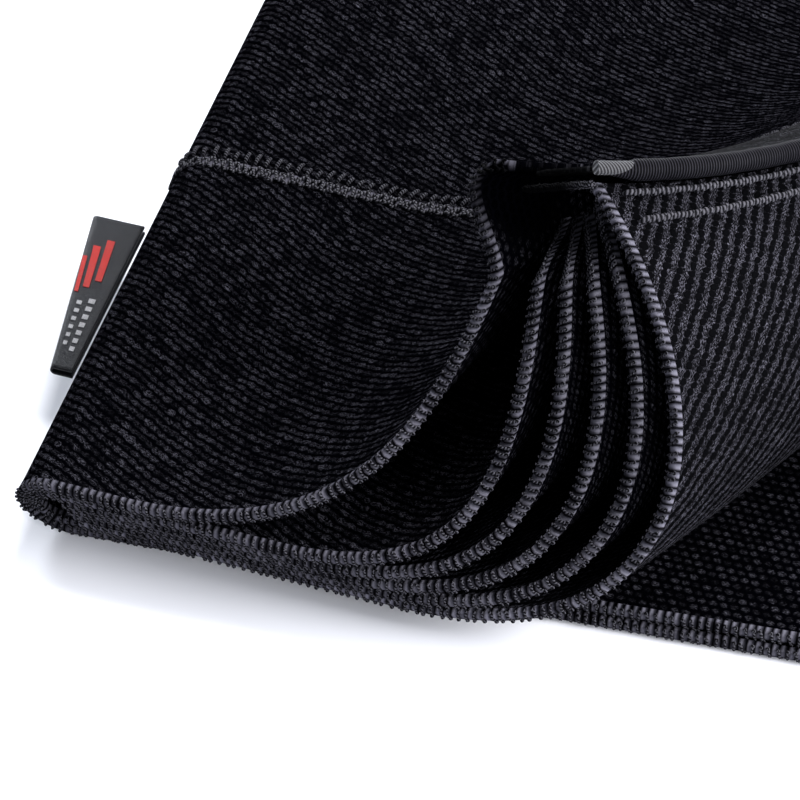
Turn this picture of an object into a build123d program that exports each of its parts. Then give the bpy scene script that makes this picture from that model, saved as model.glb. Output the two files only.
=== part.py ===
from build123d import *
import os

# Padded elastic elbow sleeve, lying flat with its front mouth lifted.
# x runs along the front rim from the left fold, y along the arm from the front mouth
# to the rear mouth, z up from the surface that the sleeve lies on. Millimetres.

ply_thickness = 1.8          # heavy ribbed elastic knit, slightly compressed
ply_pitch = 2.0              # height taken by one ply in the flat stack
sleeve_length = 164.0        # two 82 mm knitted bands side by side
join_y = sleeve_length / 2   # where the front and rear bands meet
layer_count = 8              # plies in the flat stack: 6 above the arm, 2 below
top_of_stack = (layer_count - 1) * ply_pitch + ply_thickness

fold_drift = -0.06           # x lost per mm of y along the left fold: the rear is wider
fold_radius = top_of_stack / 2
rim_recess = 0.28            # how far each lower rim steps back, per mm of depth

flat_end = 155.0             # where the lower half leaves the table, at the right fold
rim_swing = 0.095            # the lower front rim drifts back as it goes right
vent_end = 0.42              # share of the seam left open as a vent at the front mouth

ridge = [(81, 48, 59.5), (126, 80, 44), (148, sleeve_length, 32)]   # top of the seam
ply_step = [(-2.0, 0.6, -1.2), (-2.3, 0.7, -1.2), (-2.6, 0.0, -0.8)]  # to the next ply end

centre_x = 79.88             # middle of the whole sleeve, which becomes the origin
centre_y = 82.4

parts = {}


# ---- curve and surface helpers -------------------------------------------------------

def mix(a, b, t):
    return tuple(p + (q - p) * t for p, q in zip(a, b))


def blossom(points, values):
    """Polar form of a Bezier curve: one value per degree."""
    for t in values:
        points = [mix(a, b, t) for a, b in zip(points, points[1:])]
    return points[0]


def stretch(points, start, end):
    """Control points of the stretch of a Bezier curve from start to end."""
    n = len(points) - 1
    return [blossom(points, [start] * (n - i) + [end] * i) for i in range(n + 1)]


def patch(net, v=(0.0, 1.0), u=(0.0, 1.0)):
    """Part of a control net. Rows run front to rear, columns from flat to seam."""
    rows = [stretch(row, *u) for row in net]
    columns = [stretch(list(column), *v) for column in zip(*rows)]
    return [list(row) for row in zip(*columns)]


def point_on(net, u, v):
    return Vector(blossom([blossom(row, [u] * 3) for row in net], [v] * 2))


def shell(net, depth, towards):
    """A sheet of even thickness on one side of a Bezier surface."""
    return Solid.thicken(Face.make_bezier_surface(net), depth, Vector(towards))


def shifted(net, step):
    return [[tuple(p + s for p, s in zip(point, step)) for point in row] for row in net]


def add(name, shape):
    moved = Pos(-centre_x, -centre_y, 0) * shape
    moved.label = name
    parts[name] = moved


# ---- where each ply runs --------------------------------------------------------------

def base_height(layer):
    """Underside of a ply in the flat stack; layer 1 is the top one."""
    return (layer_count - layer) * ply_pitch


def rim_start(layer):
    """Front rim of a ply beside the left fold."""
    return rim_recess * (top_of_stack - base_height(layer) - ply_thickness)


def beside(row, plies):
    """Point that many plies behind the ridge, at its front, middle or rear."""
    return tuple(p + s * plies for p, s in zip(ridge[row], ply_step[row]))


def upper_net(layer):
    """Curl of one upper ply, from the flat stack up to the seam."""
    h = base_height(layer)
    y = rim_start(layer)
    below = layer - 1
    behind = 6 - layer
    if layer == 1:
        start, foot, belly = 18, 63, 70
        behind += 0.75       # the outer ply bows a little further away
    else:
        start = 44 + 5 * (layer - 2)
        foot = 87 + 7 * (layer - 2)
        belly = 79 + 7.8 * (layer - 2)
    belly_z = 38
    belly_y = 0.8 * (belly_z - h) + 0.3 * y
    middle_y = sleeve_length / 2 - y / 2
    drift = (0.05 + 0.11 * below) * middle_y
    front = [(start, y, h), (foot, y, h), (belly, belly_y, belly_z),
             beside(0, behind)]
    centre = [(start + 0.7 * drift, middle_y, h), (foot + drift, middle_y, h),
              (belly + 0.85 * drift, middle_y + 14, belly_z - 8),
              beside(1, behind)]
    rear = [(80 + 7 * below, sleeve_length, h), (123 + 9.8 * below, sleeve_length, h),
            (135 + 3 * below, sleeve_length, 17),
            beside(2, behind)]
    return [front, centre, rear]


def lower_rim(x):
    """Front rim of the two lower plies."""
    return 4.2 + rim_swing * (x - fold_radius)


def return_net(layer):
    """Right fold of one lower ply, and its way back up to the seam."""
    h = base_height(layer)
    out = layer - 6
    y = lower_rim(flat_end)
    seam = [(x + 1.0 + 2.2 * out, y_seam - 0.9 * out, z + 2.2 * out)
            for x, y_seam, z in stretch(ridge, vent_end, 1)]
    seam[2] = (seam[2][0], sleeve_length, seam[2][2])
    front = [(flat_end, y, h), (181 + 3 * out, y + 6, h), (177 + 3 * out, 58, 26 + 2.2 * out), seam[0]]
    rear = [(flat_end, sleeve_length, h), (178 + 3 * out, sleeve_length, h),
            (174 + 3 * out, sleeve_length, 26 + 2.2 * out), seam[2]]
    centre = [mix(a, b, 0.5) for a, b in zip(front, rear)]
    centre[3] = seam[1]
    return [front, centre, rear]


def fold_x(y):
    return fold_drift * y + fold_radius


# ---- flat and folded stretches ----------------------------------------------------------

def top_flat(layer, y0, y1, inset=0.0):
    """Flat stretch of an upper ply, from beside the fold to the foot of its curl."""
    h = base_height(layer)
    edge = [row[0] for row in patch(upper_net(layer), (0.0, 0.5) if y0 < join_y else (0.5, 1.0))]
    left0, left1 = (fold_x(y0) + inset, y0, h), (fold_x(y1) + inset, y1, h)
    outline = Wire([Edge.make_line(left0, edge[0]), Edge.make_bezier(*edge),
                    Edge.make_line(edge[2], left1), Edge.make_line(left1, left0)])
    return Solid.extrude(Face(outline), Vector(0, 0, ply_thickness))


def bottom_flat(layer, y1, front):
    """Flat stretch of a lower ply, from beside the left fold to the right fold."""
    h = base_height(layer)
    if front:
        corners = [(fold_x(4.2), 4.2, h), (flat_end, lower_rim(flat_end), h),
                   (flat_end, y1, h), (fold_x(y1), y1, h)]
    else:
        corners = [(fold_x(join_y), join_y, h), (flat_end, join_y, h),
                   (flat_end, y1, h), (fold_x(y1), y1, h)]
    return Solid.extrude(Face(Wire.make_polygon(corners)), Vector(0, 0, ply_thickness))


def left_fold(outer_layer, y0, y1):
    """Half-round fold joining an upper ply to the lower ply it carries on as."""
    outer = (top_of_stack - 2 * base_height(layer_count + 1 - outer_layer)) / 2
    inner = outer - ply_thickness
    middle = Vector(fold_x(y0), y0, fold_radius)
    up, left = Vector(0, 0, 1), Vector(-1, 0, 0)
    outline = Wire([
        Edge.make_three_point_arc(middle + up * outer, middle + left * outer, middle - up * outer),
        Edge.make_line(middle - up * outer, middle - up * inner),
        Edge.make_three_point_arc(middle - up * inner, middle + left * inner, middle + up * inner),
        Edge.make_line(middle + up * inner, middle + up * outer)])
    fold = Solid.extrude(Face(outline), Vector(fold_drift * (y1 - y0), y1 - y0, 0))
    if y0 == 0:
        mouth = Plane(origin=(0, 0, top_of_stack), x_dir=(1, 0, 0), z_dir=(0, 1, rim_recess))
        fold = fold.split(mouth, keep=Keep.TOP)
    return fold


def loop_ply(layer, front):
    """One ply that goes all round the arm: over the top, round both folds and back."""
    lower = layer_count + 1 - layer
    span = (0.0, 0.5) if front else (0.5, 1.0)
    y0, y1 = (rim_start(layer), join_y) if front else (join_y, sleeve_length)
    turn = (join_y - lower_rim(flat_end)) / (sleeve_length - lower_rim(flat_end))
    back = (0.0, turn) if front else (turn, 1.0)
    pieces = [
        shell(patch(upper_net(layer), span), ply_thickness, (-0.3, 0.2, 1)),
        top_flat(layer, y0, y1),
        left_fold(layer, 0 if front else join_y, y1),
        bottom_flat(lower, y1, front),
        shell(patch(return_net(lower), back), ply_thickness, (-1, 0, 0)),
    ]
    return pieces[0].fuse(*pieces[1:])


def pad_ply(layer, front):
    """One of the plies that only pad the upper half."""
    span = (0.0, 0.5) if front else (0.5, 1.0)
    y0, y1 = (rim_start(layer), join_y) if front else (join_y, sleeve_length)
    curl = shell(patch(upper_net(layer), span), ply_thickness, (-0.3, 0.2, 1))
    return curl.fuse(top_flat(layer, y0, y1, inset=0.6 * (layer - 2)))


for half, front in (("front", True), ("rear", False)):
    add(f"outer_ply_{half}", loop_ply(1, front))
    add(f"inner_ply_{half}", loop_ply(2, front))
    for number in range(1, 5):
        add(f"pad_ply_{number}_{half}", pad_ply(number + 2, front))


# ---- seam finish: welt, hem, stitches ---------------------------------------------------

welt_radius = 2.3
welt_core_radius = 1.1
welt_lift = 3.0              # height of the welt's centre above the ridge line
hem_gap = 0.25
hem_thickness = 0.9
hem_span = (0.93, 0.99)      # share of the outermost pad ply's width that the hem covers
stitch_length = 2.4
stitch_radius = 0.3
stitch_count = 17
face = upper_net(6)          # outer face of the outermost pad ply, seen through the mouth


def face_normal(u, v):
    across = point_on(face, u, v) - point_on(face, u - 0.01, v)
    along = point_on(face, u, v + 0.01) - point_on(face, u, v)
    return along.cross(across).normalized()


def along_ridge(radius, hollow=0.0):
    path = Edge.make_bezier(*[(x, y, z + welt_lift) for x, y, z in ridge])
    start = Plane(origin=path @ 0, z_dir=path % 0)
    ring = Sketch() + Circle(radius) - (Circle(hollow) if hollow else Sketch())
    return sweep(start * ring, path)


def stitch(u, v):
    """One lock stitch lying on the hem, along the seam."""
    out = face_normal(u, v)
    run = (point_on(face, u, v + 0.01) - point_on(face, u, v)).normalized()
    seat = point_on(face, u, v) + out * (hem_gap + hem_thickness + 2 * stitch_radius)
    return Plane(origin=seat, z_dir=run) * Cylinder(stitch_radius, stitch_length)


add("seam_welt_core", along_ridge(welt_core_radius))
add("seam_welt_cover", along_ridge(welt_radius, welt_core_radius))

binding_thickness = 0.8
binding_net = shifted([[beside(row, n) for n in (1.3, 2.9, 4.5, 6.1)] for row in range(3)],
                      (0, 0, 2.5))
add("seam_binding_tape", shell(binding_net, binding_thickness, (0, 0, 1)))

hem_net = patch(face, (0.02, vent_end - 0.02), hem_span)
off_face = face_normal(0.96, 0.2) * hem_gap
hem = shell(shifted(hem_net, off_face), hem_thickness, off_face)
add("vent_hem_band", hem)
for row, u in (("upper", 0.98), ("lower", 0.94)):
    places = [0.035 + (vent_end - 0.07) * n / (stitch_count - 1) for n in range(stitch_count)]
    add(f"hem_{row}_lock_stitches", Compound([stitch(u, v) for v in places]))

join_width = 5.0
join_height = 0.5
join_start, join_end = 4.0, 34.0
join = Box(join_end - join_start, join_width, join_height)
add("top_join_zigzag_thread", Pos((join_start + join_end) / 2, join_y,
                                  top_of_stack + join_height / 2) * join)

tack_radius = 0.9
ends = [point_on(upper_net(layer), 1, 0) for layer in (1, 6)]
ahead = Vector(-0.2, -2.4, 0.4)
tack_line = Edge.make_line(ends[0] + ahead, ends[1] + ahead)
add("vent_bar_tack", Plane(origin=tack_line @ 0.5, z_dir=tack_line % 0) *
    Cylinder(tack_radius, tack_line.length))


# ---- woven label on the left fold -----------------------------------------------------------

label_cloth = 0.45
label_height = 8.0           # mid-height of the fold, where the label is sewn on
label_gap = 1.2              # from the fold's face to the label's sewn edge
label_near, label_far = 31.0, 69.0
label_reach = (4.0, 10.0)    # it is sewn on a little askew


def label_section(y, reach):
    """Section of the folded label: two layers of satin and a round outer fold."""
    root = fold_drift * y - label_gap
    outer, inner = 0.9, 0.9 - label_cloth
    tip = root - reach + outer
    up, left = Vector(0, 0, 1), Vector(-1, 0, 0)
    seat, bend = Vector(root, y, label_height), Vector(tip, y, label_height)
    return Wire([
        Edge.make_line(seat + up * outer, bend + up * outer),
        Edge.make_three_point_arc(bend + up * outer, bend + left * outer, bend - up * outer),
        Edge.make_line(bend - up * outer, seat - up * outer),
        Edge.make_line(seat - up * outer, seat - up * inner),
        Edge.make_line(seat - up * inner, bend - up * inner),
        Edge.make_three_point_arc(bend - up * inner, bend + left * inner, bend + up * inner),
        Edge.make_line(bend + up * inner, seat + up * inner),
        Edge.make_line(seat + up * inner, seat + up * outer)])


sections = [label_section(label_near, label_reach[0]), label_section(label_far, label_reach[1])]
add("woven_label", Solid.make_loft(sections, ruled=True))

box = Compound(list(parts.values())).bounding_box()
print("size", box.size, "middle", box.center())

os.makedirs("parts", exist_ok=True)
for name, shape in parts.items():
    export_step(shape, f"parts/{name}.step")
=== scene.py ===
import math
import random
import bpy
import numpy as np
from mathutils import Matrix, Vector


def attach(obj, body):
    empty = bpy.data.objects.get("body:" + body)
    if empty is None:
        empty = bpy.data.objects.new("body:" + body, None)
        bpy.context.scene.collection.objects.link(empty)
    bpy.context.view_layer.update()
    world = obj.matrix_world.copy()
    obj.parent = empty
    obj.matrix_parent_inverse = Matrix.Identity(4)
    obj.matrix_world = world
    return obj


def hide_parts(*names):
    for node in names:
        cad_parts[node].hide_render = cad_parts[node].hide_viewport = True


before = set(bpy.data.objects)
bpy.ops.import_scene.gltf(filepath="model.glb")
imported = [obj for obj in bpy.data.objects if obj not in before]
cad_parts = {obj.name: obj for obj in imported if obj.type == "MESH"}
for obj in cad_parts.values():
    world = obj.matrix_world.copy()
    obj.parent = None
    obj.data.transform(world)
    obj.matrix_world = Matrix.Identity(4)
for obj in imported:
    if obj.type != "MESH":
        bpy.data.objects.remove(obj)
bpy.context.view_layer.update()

for cadNode in list(bpy.context.selected_objects):
    cadNode.select_set(False)
random.seed(7)
print("frame loaded:", len(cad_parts), "CAD nodes")

# x runs along the front rim from the left fold, y along the arm, z up, in millimetres;
# toRowFrame shifts them to the row frame and turns them to metres
sleeve = {
    "plyThickness": 1.8,
    "plyPitch": 2.0,
    "topOfStack": 15.8,
    "joinY": 82.0,
    "backRim": 164.0,
    "foldRadius": 7.9,
    "foldDrift": -0.06,
    "rimRecess": 0.28,
    "flatEnd": 155.0,
    "lowerRimStart": 4.2,
    "rimSwing": 0.095,
    "ventEnd": 0.42,
    "ridge": ((81, 48, 59.5), (126, 80, 44), (148, 164, 32)),
    "plyStep": ((-2.0, 0.6, -1.2), (-2.3, 0.7, -1.2), (-2.6, 0.0, -0.8)),
    "centre": (79.88, 82.4, 0.0),
}


def toRowFrame(points):
    return (np.asarray(points, float) - np.array(sleeve["centre"])) / 1000.0


def blend(a, b, t):
    return tuple(p + (q - p) * t for p, q in zip(a, b))


def blossom(points, values):
    for t in values:
        points = [blend(a, b, t) for a, b in zip(points, points[1:])]
    return points[0]


def stretchOf(points, start, end):
    degree = len(points) - 1
    return [blossom(points, [start] * (degree - i) + [end] * i) for i in range(degree + 1)]


def onNet(net, u, v):
    # rows run front to rear, columns from the flat stack to the seam
    u, v = np.broadcast_arrays(np.asarray(u, float), np.asarray(v, float))
    rows = [(1 - v) ** 2, 2 * v * (1 - v), v ** 2]
    columns = [(1 - u) ** 3, 3 * u * (1 - u) ** 2, 3 * u ** 2 * (1 - u), u ** 3]
    total = np.zeros(u.shape + (3,))
    for i, row in enumerate(rows):
        for j, column in enumerate(columns):
            total += (row * column)[..., None] * np.array(net[i][j], float)
    return total


def netPoint(net, u, v):
    return Vector(onNet(net, u, v).tolist())


def netNormal(net, u, v):
    across = netPoint(net, u, v) - netPoint(net, u - 0.01, v)
    along = netPoint(net, u, v + 0.01) - netPoint(net, u, v)
    return along.cross(across).normalized()


def baseHeight(layer):
    return (8 - layer) * sleeve["plyPitch"]


def rimStart(layer):
    return sleeve["rimRecess"] * (sleeve["topOfStack"] - baseHeight(layer) - sleeve["plyThickness"])


def beside(row, plies):
    return tuple(p + s * plies for p, s in zip(sleeve["ridge"][row], sleeve["plyStep"][row]))


def upperNet(layer):
    h = baseHeight(layer)
    y = rimStart(layer)
    below = layer - 1
    behind = 6 - layer
    if layer == 1:
        start, foot, belly = 18, 63, 70
        behind += 0.75
    else:
        start = 44 + 5 * (layer - 2)
        foot = 87 + 7 * (layer - 2)
        belly = 79 + 7.8 * (layer - 2)
    middleY = sleeve["joinY"] - y / 2
    drift = (0.05 + 0.11 * below) * middleY
    back = sleeve["backRim"]
    front = [(start, y, h), (foot, y, h), (belly, 0.8 * (38 - h) + 0.3 * y, 38), beside(0, behind)]
    centre = [(start + 0.7 * drift, middleY, h), (foot + drift, middleY, h),
              (belly + 0.85 * drift, middleY + 14, 30), beside(1, behind)]
    rear = [(80 + 7 * below, back, h), (123 + 9.8 * below, back, h),
            (135 + 3 * below, back, 17), beside(2, behind)]
    return [front, centre, rear]


def lowerRim(x):
    return sleeve["lowerRimStart"] + sleeve["rimSwing"] * (x - sleeve["foldRadius"])


def returnNet(layer):
    h = baseHeight(layer)
    out = layer - 6
    x0 = sleeve["flatEnd"]
    y = lowerRim(x0)
    back = sleeve["backRim"]
    seam = [(x + 1.0 + 2.2 * out, ySeam - 0.9 * out, z + 2.2 * out)
            for x, ySeam, z in stretchOf(sleeve["ridge"], sleeve["ventEnd"], 1)]
    seam[2] = (seam[2][0], back, seam[2][2])
    front = [(x0, y, h), (181 + 3 * out, y + 6, h), (177 + 3 * out, 58, 26 + 2.2 * out), seam[0]]
    rear = [(x0, back, h), (178 + 3 * out, back, h), (174 + 3 * out, back, 26 + 2.2 * out), seam[2]]
    centre = [blend(a, b, 0.5) for a, b in zip(front, rear)]
    centre[3] = seam[1]
    return [front, centre, rear]


def foldX(y):
    return sleeve["foldDrift"] * y + sleeve["foldRadius"]


def feed(tree, socket, value):
    # a number or a colour is set on the socket, anything else is linked to it
    if isinstance(value, (int, float)):
        socket.default_value = value
    elif isinstance(value, tuple):
        socket.default_value = value if len(value) == 4 else (*value, 1.0)
    elif value is not None:
        tree.links.new(value, socket)


def mathStep(tree, operation, *values):
    made = tree.nodes.new("ShaderNodeMath")
    made.operation = operation
    for socket, value in zip(made.inputs, values):
        feed(tree, socket, value)
    return made.outputs[0]


def vectorStep(tree, operation, first):
    made = tree.nodes.new("ShaderNodeVectorMath")
    made.operation = operation
    tree.links.new(first, made.inputs[0])
    return made


def mixColor(tree, factor, a, b):
    made = tree.nodes.new("ShaderNodeMix")
    made.data_type = "RGBA"
    for index, value in zip((0, 6, 7), (factor, a, b)):
        feed(tree, made.inputs[index], value)
    return made.outputs[2]


def mixValue(tree, factor, a, b):
    made = tree.nodes.new("ShaderNodeMix")
    made.data_type = "FLOAT"
    for index, value in zip((0, 2, 3), (factor, a, b)):
        feed(tree, made.inputs[index], value)
    return made.outputs[0]


def splitXyz(tree, vector):
    made = tree.nodes.new("ShaderNodeSeparateXYZ")
    tree.links.new(vector, made.inputs[0])
    return made.outputs


def noiseOf(tree, vector, scale, detail=2.0, rough=0.5):
    made = tree.nodes.new("ShaderNodeTexNoise")
    made.inputs["Scale"].default_value = scale
    made.inputs["Detail"].default_value = detail
    made.inputs["Roughness"].default_value = rough
    tree.links.new(vector, made.inputs["Vector"])
    return made.outputs["Fac"]


def newGroup(name, inputs, outputs):
    group = bpy.data.node_groups.new(name, "ShaderNodeTree")
    for label, kind, value in inputs:
        socket = group.interface.new_socket(label, in_out="INPUT", socket_type=kind)
        if value is not None:
            socket.default_value = value
    for label, kind in outputs:
        group.interface.new_socket(label, in_out="OUTPUT", socket_type=kind)
    entry = group.nodes.new("NodeGroupInput")
    leave = group.nodes.new("NodeGroupOutput")
    return group, entry, leave


def placeGroup(tree, group, **values):
    made = tree.nodes.new("ShaderNodeGroup")
    made.node_tree = group
    for label, value in values.items():
        feed(tree, made.inputs[label], value)
    return made


def makeKnitRows():
    # staggered rows of slanted yarn floats, measured in millimetres of cloth
    group, entry, leave = newGroup("knitRows", [
        ("Cloth", "NodeSocketVector", None),
        ("RowPitch", "NodeSocketFloat", 1.5),
        ("StitchPitch", "NodeSocketFloat", 1.0),
        ("Lean", "NodeSocketFloat", 0.5),
        ("Turn", "NodeSocketFloat", 0.0),
        ("Wander", "NodeSocketFloat", 0.3),
        ("Soft", "NodeSocketFloat", 0.7),
        ("RowGap", "NodeSocketFloat", 2.4),
        ("StitchGap", "NodeSocketFloat", 2.0),
        ("Open", "NodeSocketFloat", 0.0),
    ], [("Height", "NodeSocketFloat"), ("Tone", "NodeSocketFloat"), ("Fibre", "NodeSocketFloat")])
    cloth = entry.outputs["Cloth"]
    wobble = group.nodes.new("ShaderNodeTexNoise")
    wobble.inputs["Scale"].default_value = 0.35
    wobble.inputs["Detail"].default_value = 2.0
    group.links.new(cloth, wobble.inputs["Vector"])
    centred = vectorStep(group, "SUBTRACT", wobble.outputs["Color"])
    centred.inputs[1].default_value = (0.5, 0.5, 0.5)
    scaled = vectorStep(group, "SCALE", centred.outputs[0])
    group.links.new(entry.outputs["Wander"], scaled.inputs["Scale"])
    moved = vectorStep(group, "ADD", cloth)
    group.links.new(scaled.outputs[0], moved.inputs[1])
    turned = group.nodes.new("ShaderNodeVectorRotate")
    turned.rotation_type = "Z_AXIS"
    group.links.new(moved.outputs[0], turned.inputs["Vector"])
    group.links.new(entry.outputs["Turn"], turned.inputs["Angle"])
    parts = splitXyz(group, turned.outputs[0])
    row = mathStep(group, "DIVIDE", parts[1], entry.outputs["RowPitch"])
    rowIndex = mathStep(group, "FLOOR", row)
    rowPart = mathStep(group, "SUBTRACT", mathStep(group, "FRACT", row), 0.5)
    stagger = mathStep(group, "MULTIPLY", mathStep(group, "FLOORED_MODULO", rowIndex, 2.0), 0.5)
    column = mathStep(group, "DIVIDE", parts[0], entry.outputs["StitchPitch"])
    column = mathStep(group, "ADD", column, stagger)
    column = mathStep(group, "ADD", column, mathStep(group, "MULTIPLY", entry.outputs["Lean"], rowPart))
    columnIndex = mathStep(group, "FLOOR", column)
    columnPart = mathStep(group, "SUBTRACT", mathStep(group, "FRACT", column), 0.5)
    acrossRow = mathStep(group, "MULTIPLY", rowPart, entry.outputs["RowGap"])
    acrossRow = mathStep(group, "POWER", acrossRow, 2.0)
    acrossColumn = mathStep(group, "MULTIPLY", columnPart, entry.outputs["StitchGap"])
    acrossColumn = mathStep(group, "POWER", acrossColumn, 2.0)
    crown = mathStep(group, "SUBTRACT", 1.0, mathStep(group, "ADD", acrossRow, acrossColumn))
    crown = mathStep(group, "POWER", mathStep(group, "MAXIMUM", crown, 0.0), entry.outputs["Soft"])
    address = group.nodes.new("ShaderNodeCombineXYZ")
    group.links.new(columnIndex, address.inputs[0])
    group.links.new(rowIndex, address.inputs[1])
    chance = group.nodes.new("ShaderNodeTexWhiteNoise")
    chance.noise_dimensions = "2D"
    group.links.new(address.outputs[0], chance.inputs["Vector"])
    strands = group.nodes.new("ShaderNodeMapping")
    strands.inputs["Scale"].default_value = (1.5, 4.6, 1.0)
    strands.inputs["Rotation"].default_value = (0.0, 0.0, math.radians(20))
    group.links.new(turned.outputs[0], strands.inputs["Vector"])
    fibre = noiseOf(group, strands.outputs[0], 1.5, 2.0, 0.6)
    uneven = mathStep(group, "MULTIPLY_ADD", chance.outputs["Value"], 0.35, 0.75)
    holed = mathStep(group, "MAXIMUM", mathStep(group, "MULTIPLY_ADD", crown, -1.35, 1.0), 0.0)
    height = mixValue(group, entry.outputs["Open"], mathStep(group, "MULTIPLY", crown, uneven), holed)
    flecks = mathStep(group, "MULTIPLY", mathStep(group, "SUBTRACT", fibre, 0.40), 5.0)
    flecks = mathStep(group, "MINIMUM", mathStep(group, "MAXIMUM", flecks, 0.15), 1.35)
    height = mathStep(group, "MULTIPLY", height, flecks)
    group.links.new(height, leave.inputs["Height"])
    group.links.new(chance.outputs["Value"], leave.inputs["Tone"])
    group.links.new(fibre, leave.inputs["Fibre"])
    return group


def makeYarnShade():
    # painted shade between the stitches and a painted highlight on their crowns, set by their height, with a
    # little dust and rub
    group, entry, leave = newGroup("yarnShade", [
        ("Height", "NodeSocketFloat", 0.5),
        ("Tone", "NodeSocketFloat", 0.5),
        ("Place", "NodeSocketVector", None),
        # Deep is the painted shade between the stitches, Crown the painted highlight on them
        ("Deep", "NodeSocketColor", (0.001, 0.001, 0.002, 1)),
        ("Crown", "NodeSocketColor", (0.04, 0.04, 0.05, 1)),
        ("Rub", "NodeSocketFloat", 0.3),
    ], [("Color", "NodeSocketColor"), ("Roughness", "NodeSocketFloat")])
    # rise: share of painted highlight, none in the painted shade between the stitches
    rise = mathStep(group, "POWER", mathStep(group, "MAXIMUM", entry.outputs["Height"], 0.0), 2.6)
    tone = mathStep(group, "MULTIPLY_ADD", entry.outputs["Tone"], 1.1, 0.4)
    patchy = noiseOf(group, entry.outputs["Place"], 60.0, 3.0, 0.6)
    dust = noiseOf(group, entry.outputs["Place"], 900.0, 2.0, 0.7)
    rise = mathStep(group, "MINIMUM", mathStep(group, "MULTIPLY", rise, tone), 1.0)
    color = mixColor(group, rise, entry.outputs["Deep"], entry.outputs["Crown"])
    worn = mathStep(group, "MULTIPLY", mathStep(group, "MULTIPLY", patchy, dust), entry.outputs["Rub"])
    worn = mathStep(group, "MULTIPLY", worn, rise)
    color = mixColor(group, worn, color, (0.16, 0.16, 0.18))
    rough = mathStep(group, "MULTIPLY_ADD", rise, -0.22, 0.78)
    rough = mathStep(group, "MULTIPLY_ADD", dust, 0.12, rough)
    group.links.new(color, leave.inputs["Color"])
    group.links.new(rough, leave.inputs["Roughness"])
    return group


def makeTwist():
    # the lay of the filaments round a sewing thread or a satin cover
    group, entry, leave = newGroup("threadTwist", [
        ("Thread", "NodeSocketVector", None),
        ("Lay", "NodeSocketFloat", 0.45),
        ("Slant", "NodeSocketFloat", 1.0),
    ], [("Height", "NodeSocketFloat")])
    parts = splitXyz(group, entry.outputs["Thread"])
    along = mathStep(group, "DIVIDE", parts[0], entry.outputs["Lay"])
    around = mathStep(group, "MULTIPLY", parts[1], entry.outputs["Slant"])
    phase = mathStep(group, "MULTIPLY", mathStep(group, "ADD", along, around), 2 * math.pi)
    wave = mathStep(group, "MULTIPLY_ADD", mathStep(group, "SINE", phase), 0.5, 0.5)
    fuzz = noiseOf(group, entry.outputs["Thread"], 5.0, 2.0, 0.6)
    height = mathStep(group, "MULTIPLY_ADD", fuzz, 0.35, wave)
    group.links.new(height, leave.inputs["Height"])
    return group


knitRows = makeKnitRows()
yarnShade = makeYarnShade()
threadTwist = makeTwist()


def newFinish(name, sheen, specular):
    material = bpy.data.materials.new(name)
    material.use_nodes = True
    shader = material.node_tree.nodes["Principled BSDF"]
    shader.inputs["Sheen Weight"].default_value = sheen
    shader.inputs["Sheen Roughness"].default_value = 0.35
    shader.inputs["Sheen Tint"].default_value = (0.86, 0.89, 1.0, 1.0)
    shader.inputs["Specular IOR Level"].default_value = specular
    return material, material.node_tree, shader


def bumpInto(tree, shader, height, distance, strength=1.0):
    made = tree.nodes.new("ShaderNodeBump")
    made.inputs["Strength"].default_value = strength
    made.inputs["Distance"].default_value = distance
    tree.links.new(height, made.inputs["Height"])
    tree.links.new(made.outputs[0], shader.inputs["Normal"])


def markOf(tree, name):
    made = tree.nodes.new("ShaderNodeAttribute")
    made.attribute_name = name
    return made.outputs["Fac"]


mouth = {   # the deep pinch at the top of the vent, where the rims dive under the outer ply
    # middle, radius, fade and dark set the painted shade that blackens the pinch; hood and tuck bend the
    # plies there
    "middle": (70.0, 51.0, 54.0),
    "radius": 7.0, "fade": 6.0,
    "dark": (0.0003, 0.0003, 0.0006),
    "from": 0.85, "hood": (-7.5, 1.0, 4.5),
    "tuckFrom": 0.84, "tuck": (0.5, 2.0, -8.0),
    "tuckShare": (0.0, 1.0, 1.0, 0.9, 0.6, 0.0),
}


def mouthPaintedShade(points):
    # share of painted shade at each point: full within the radius, fading to none over fade
    away = np.linalg.norm(np.asarray(points, float) - np.array(mouth["middle"]), axis=1)
    share = np.clip((mouth["radius"] + mouth["fade"] - away) / mouth["fade"], 0, 1)
    return share * share * (3 - 2 * share)


def shadeYarn(tree, shader, look, height, tone, place):
    shade = placeGroup(tree, yarnShade, Height=height, Tone=tone, Place=place, Rub=look["rub"],
                       Deep=look["deep"], Crown=look["crown"])
    # painted shade: the colour turns near black in the pinch at the vent's top
    color = mixColor(tree, markOf(tree, "mouthPaintedShade"), shade.outputs["Color"], mouth["dark"])
    tree.links.new(color, shader.inputs["Base Color"])
    return shade


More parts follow.
